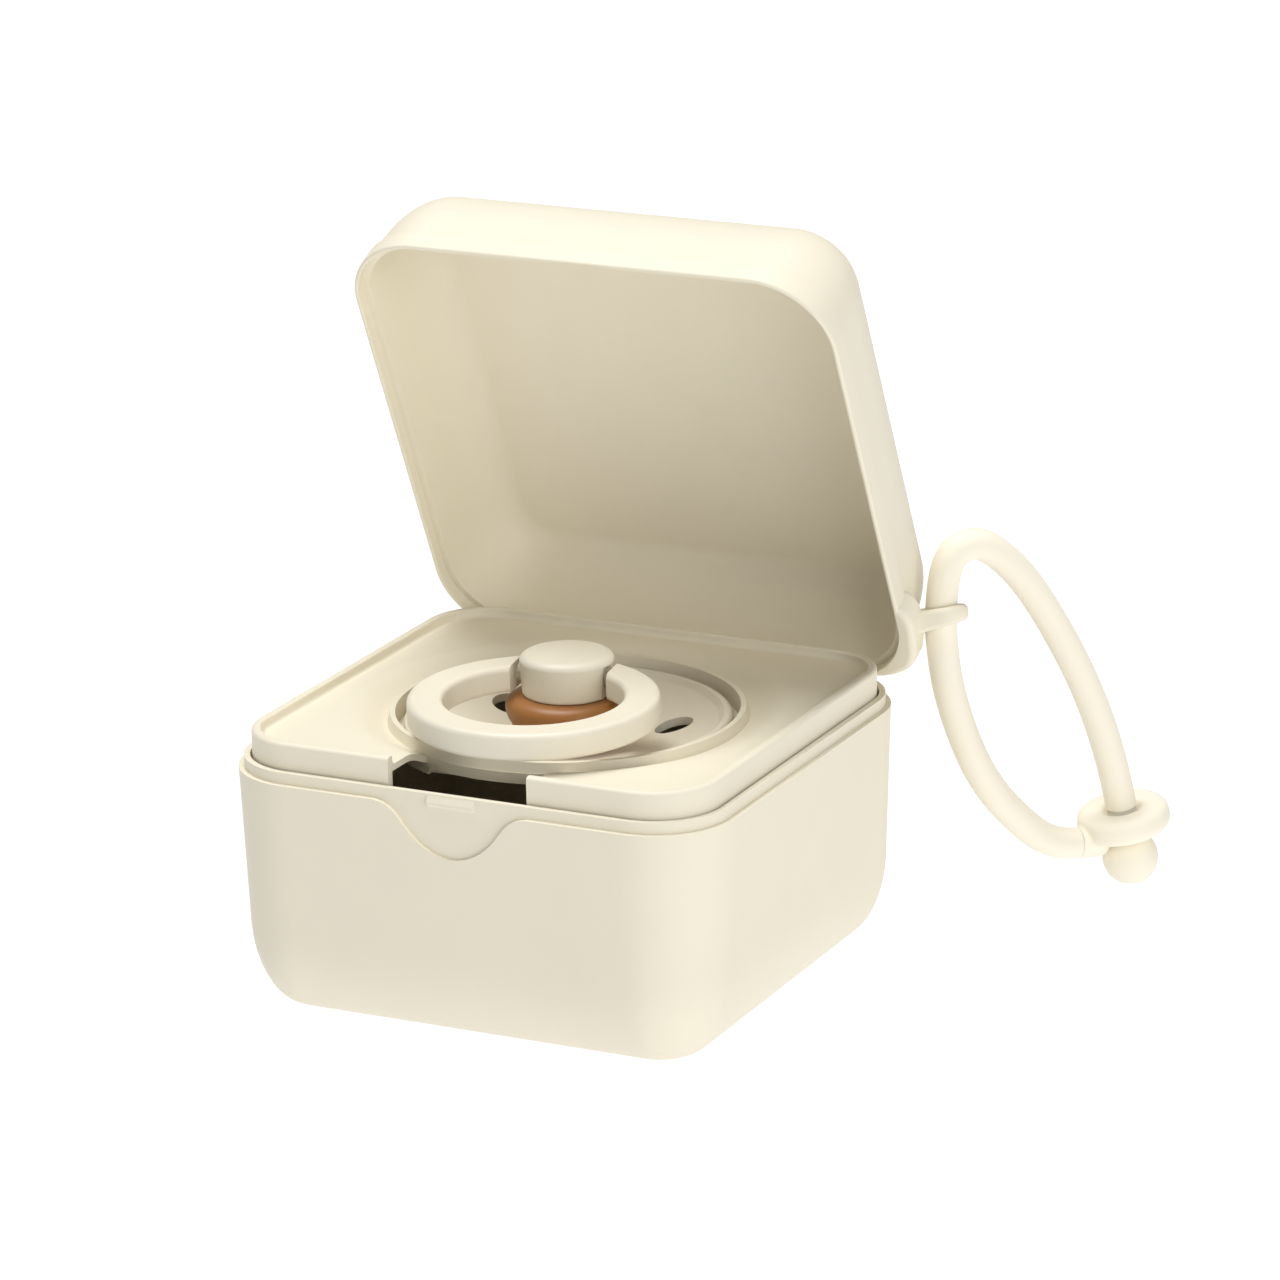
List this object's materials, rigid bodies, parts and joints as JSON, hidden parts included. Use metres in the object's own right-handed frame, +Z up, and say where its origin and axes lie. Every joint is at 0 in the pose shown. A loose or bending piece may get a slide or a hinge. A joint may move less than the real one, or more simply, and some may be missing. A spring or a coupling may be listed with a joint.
{
  "type": "pacifier sterilizer case",
  "caption": "Open cream plastic travel case with hinged lid, lift-out tray holding a round pacifier with ring handle, and a looped silicone strap.",
  "frame": {"origin": "on the floor under the middle of the case body", "axes": "+X is the side with the strap, -Y the front with the thumb dip, +Z up"},
  "size_m": [0.0998, 0.1006, 0.1012],
  "materials": {
    "cream_plastic": "satin",
    "cream_silicone": "satin",
    "latex": "gloss",
    "steel": "satin"
  },
  "bodies": {
    "case": {"case_body": "cream_plastic", "hinge_pin": "steel"},
    "lid": {"lid": "cream_plastic"},
    "tray": {"tray": "cream_plastic"},
    "pacifier": {"pacifier_shield": "cream_plastic", "pacifier_teat": "latex", "pacifier_button": "cream_plastic"},
    "handle": {"pacifier_handle": "cream_plastic"},
    "strap": {"strap_upper_leg": "cream_silicone", "strap_lower_leg": "cream_silicone", "strap_disc": "cream_silicone", "strap_ball": "cream_silicone"}
  },
  "joints": [
    {"name": "lid_hinge", "type": "hinge", "parent": "case", "child": "lid", "pos_m": [0, 0.03515, 0.03385], "axis": [-1, 0, 0], "range_deg": [-65.2, 45]},
    {"name": "tray_lift", "type": "slide", "parent": "case", "child": "tray", "axis": [0, 0, 1], "range_m": [0, 0.018]},
    {"name": "pacifier_lift", "type": "slide", "parent": "tray", "child": "pacifier", "axis": [0, 0, 1], "range_m": [0, 0.028]},
    {"name": "handle_pivot", "type": "hinge", "parent": "pacifier", "child": "handle", "pos_m": [0, 0, 0.04145], "axis": [-0.9903, -0.1392, 0], "range_deg": [0, 170]},
    {"name": "strap_swivel", "type": "hinge", "parent": "lid", "child": "strap", "pos_m": [0.039, 0.0368, 0.0439], "axis": [-0.0222, -0.027, -0.9994], "range_deg": [0, 80]}
  ]
}
